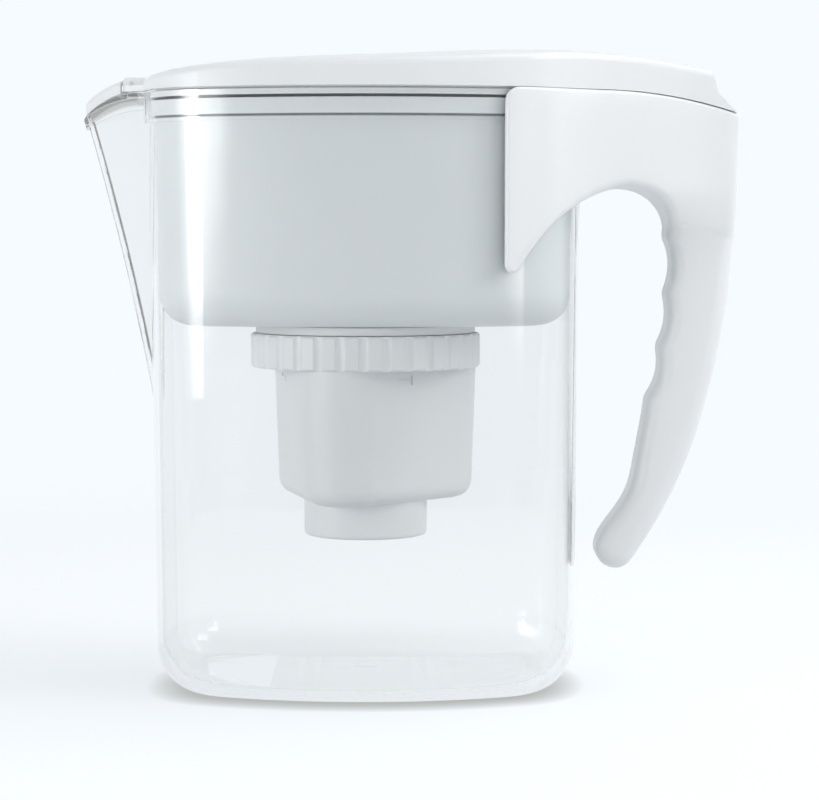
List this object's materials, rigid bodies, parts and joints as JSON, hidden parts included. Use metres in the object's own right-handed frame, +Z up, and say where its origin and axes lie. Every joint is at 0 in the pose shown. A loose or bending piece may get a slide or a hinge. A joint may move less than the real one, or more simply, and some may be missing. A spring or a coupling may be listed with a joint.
{
  "type": "water filter pitcher",
  "caption": "Clear jug with a lift-out reservoir, a screw-in filter cartridge below it, a lift-off lid with a hinged spout flap, and a two-part clamped-on handle.",
  "frame": {"origin": "centre of the jug's flat base on the table", "axes": "+Z up, -X to the spout, +X to the handle, +Y to the side the handle's screws enter"},
  "size_m": [0.2594, 0.1236, 0.2527],
  "materials": {
    "clear_plastic": "clear, polished",
    "white_plastic": "smooth moulded",
    "reservoir_plastic": "smooth, slightly translucent white",
    "cartridge_plastic": "fine matt white",
    "screw_steel": "stainless",
    "silicone": "soft white",
    "mesh": "perforated sheet",
    "felt": "pressed white felt",
    "resin": "amber beads",
    "carbon": "black granules"
  },
  "bodies": {
    "jug": {"jug_body": "clear_plastic", "handle_near_half": "white_plastic", "handle_far_half": "white_plastic", "handle_screws": "screw_steel", "screw_plugs": "white_plastic"},
    "tub": {"reservoir": "reservoir_plastic"},
    "lid": {"lid_shell": "white_plastic", "flap_pin": "screw_steel"},
    "flap": {"spout_flap": "white_plastic"},
    "seal": {"gasket": "silicone"},
    "cartridge": {"cartridge_collar": "cartridge_plastic", "inlet_grille": "cartridge_plastic", "cartridge_housing": "cartridge_plastic", "outlet_screen": "mesh", "outlet_felt": "felt", "resin_bed": "resin", "divider_felt": "felt", "carbon_bed": "carbon", "inlet_felt": "felt", "inlet_screen": "mesh"}
  },
  "joints": [
    {"name": "reservoir_lift", "type": "slide", "parent": "jug", "child": "tub", "axis": [0, 0, 1], "range_m": [0, 0.18]},
    {"name": "lid_lift", "type": "slide", "parent": "tub", "child": "lid", "axis": [0, 0, 1], "range_m": [0, 0.06]},
    {"name": "flap_hinge", "type": "hinge", "parent": "lid", "child": "flap", "pos_m": [-0.09086, 0, 0.239], "axis": [0, 1, 0], "range_deg": [0, 75]},
    {"name": "cartridge_drop", "type": "slide", "parent": "tub", "child": "seal", "axis": [0, 0, -1], "range_m": [0, 0.006]},
    {"name": "cartridge_turn", "type": "hinge", "parent": "seal", "child": "cartridge", "pos_m": [0, 0, 0.14], "axis": [0, 0, -1], "range_deg": [0, 540]}
  ],
  "couplings": [
    {"joint": "cartridge_drop", "follows": "cartridge_turn", "m_per_rad": 0.00063661}
  ]
}
